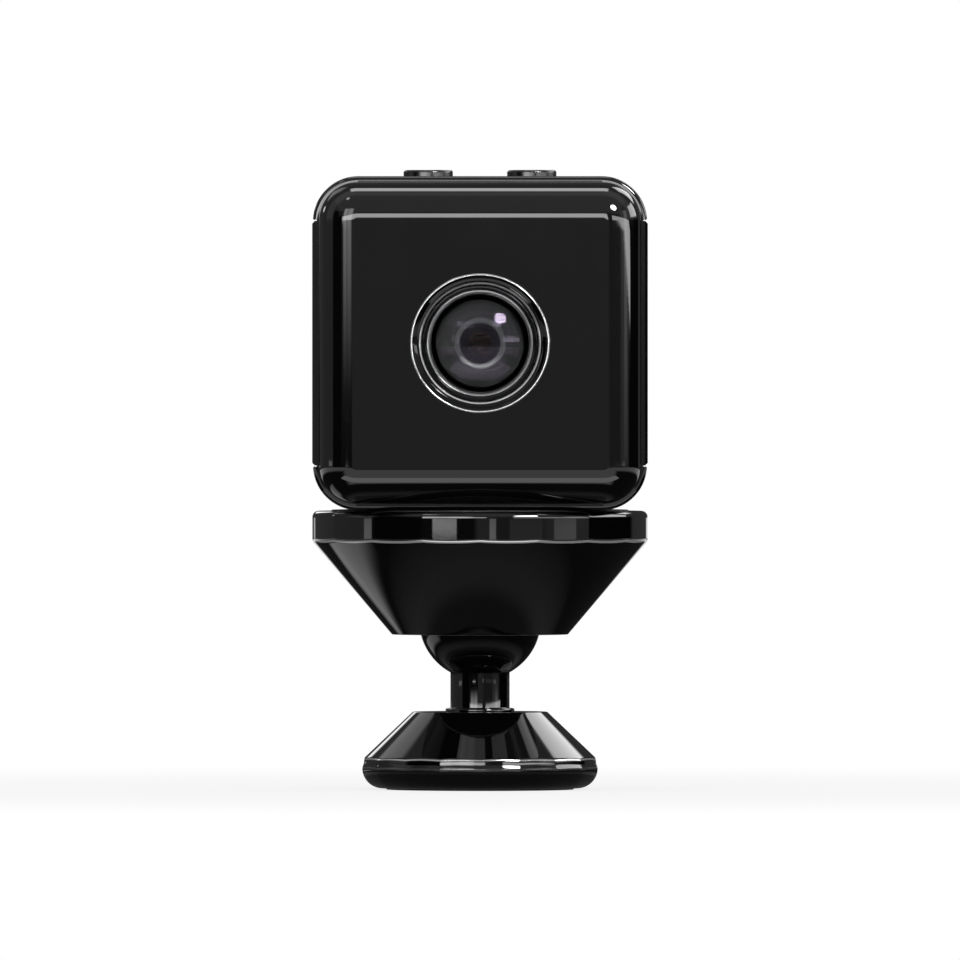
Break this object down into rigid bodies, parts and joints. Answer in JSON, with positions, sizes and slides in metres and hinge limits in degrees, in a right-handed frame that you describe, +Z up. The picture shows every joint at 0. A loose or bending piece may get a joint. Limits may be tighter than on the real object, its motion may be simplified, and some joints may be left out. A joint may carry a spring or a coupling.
{
  "type": "security camera",
  "caption": "Small glossy black cube camera with a round front lens and top push buttons, standing on a fluted magnetic holder that turns on a ball-joint stand.",
  "frame": {"origin": "middle of the underside of the stand's base, where the stand's axis meets the surface it stands on", "axes": "+Z up along the stand's axis, the lens looks along -Y, +X is on the right of someone who faces the lens"},
  "size_m": [0.0272, 0.0276, 0.0503],
  "materials": {
    "shell_black": "high-gloss moulded black",
    "cover_black": "high-gloss moulded black, passes infrared light",
    "panel_black": "high-gloss moulded black",
    "button_black": "gloss black keytops",
    "trim_black": "high-gloss black ring",
    "barrel_black": "black anodised, polished front edge",
    "holder_black": "high-gloss piano black",
    "stand_black": "high-gloss piano black",
    "stud_black": "gloss black plated steel",
    "foot_rubber": "soft foot pad",
    "grip_rubber": "thin soft pad",
    "inner_black": "matt black moulding",
    "screw_black": "blackened steel",
    "steel": "plain steel",
    "nickel": "nickel-plated magnet",
    "nylon": "natural nylon",
    "front_glass": "coated front lens",
    "lens_glass": "coated lens element",
    "filter_glass": "blue-green cut filter",
    "sensor_chip": "sensor under cover glass",
    "board_green": "solder-masked circuit board",
    "chip_black": "moulded chip package",
    "ceramic": "small ceramic parts",
    "tin_plate": "tinned sheet",
    "flex_amber": "polyimide flex",
    "connector_white": "moulded connector",
    "lead_black": "thin insulated lead",
    "lead_red": "insulated wires",
    "pouch_foil": "laminate pouch",
    "foam": "foam tape",
    "led_resin": "clear resin"
  },
  "bodies": {
    "stand": {"base_shell": "stand_black", "base_weight": "steel", "base_pad": "foot_rubber", "ball_stud": "stud_black", "stud_screw": "steel"},
    "liner": {"socket_liner": "nylon"},
    "cup": {"pressure_cup": "steel"},
    "holder": {"holder_shell": "holder_black", "disc_spring": "steel", "retaining_ring": "inner_black", "magnet_yoke": "steel", "magnet": "nickel", "grip_pad": "grip_rubber"},
    "keeper": {"keeper_plate": "steel"},
    "camera": {"main_shell": "shell_black", "front_cover": "cover_black", "rear_cover": "cover_black", "side_panel_left": "panel_black", "side_panel_right": "panel_black", "rear_screws": "screw_black", "lens_trim_ring": "trim_black", "lens_barrel": "barrel_black", "front_lens": "front_glass", "aperture_disc": "inner_black", "lens_spacers": "inner_black", "middle_lens": "lens_glass", "rear_lens": "lens_glass", "ir_cut_filter": "filter_glass", "lens_holder": "inner_black", "image_sensor": "sensor_chip", "sensor_board": "board_green", "sensor_screws": "steel", "led_board": "board_green", "ir_leds": "led_resin", "light_sensor": "led_resin", "status_led": "led_resin", "main_board": "board_green", "board_screws": "steel", "processor": "chip_black", "wifi_module": "tin_plate", "memory_chip": "chip_black", "small_parts": "ceramic", "usb_port": "tin_plate", "card_socket": "tin_plate", "reset_switch": "chip_black", "microphone": "tin_plate", "antenna": "flex_amber", "antenna_lead": "lead_black", "flex_cable": "flex_amber", "flex_connectors": "connector_white", "battery": "pouch_foil", "battery_pad": "foam", "battery_leads": "lead_red", "button_board": "board_green", "button_board_screws": "steel", "tact_switches": "chip_black"},
    "power_button": {"power_button": "button_black"},
    "mode_button": {"mode_button": "button_black"}
  },
  "joints": [
    {"name": "ball_spin", "type": "hinge", "parent": "stand", "child": "liner", "pos_m": [0, 0, 0.01387], "axis": [0, 0, 1], "continuous": true},
    {"name": "ball_tilt", "type": "hinge", "parent": "liner", "child": "cup", "pos_m": [0, 0, 0.01387], "axis": [1, 0, 0], "range_deg": [-30, 30]},
    {"name": "ball_lean", "type": "hinge", "parent": "cup", "child": "holder", "pos_m": [0, 0, 0.01387], "axis": [0, 1, 0], "range_deg": [-30, 30]},
    {"name": "magnet_lift", "type": "slide", "parent": "holder", "child": "keeper", "axis": [0, 0, 1], "range_m": [0, 0.03]},
    {"name": "magnet_turn", "type": "hinge", "parent": "keeper", "child": "camera", "pos_m": [0, 0, 0.0227], "axis": [0, 0, 1], "continuous": true},
    {"name": "power_press", "type": "slide", "parent": "camera", "child": "power_button", "axis": [0, 0, -1], "range_m": [0, 0.0003], "stiffness_N_per_m": 4000},
    {"name": "mode_press", "type": "slide", "parent": "camera", "child": "mode_button", "axis": [0, 0, -1], "range_m": [0, 0.0003], "stiffness_N_per_m": 4000}
  ]
}
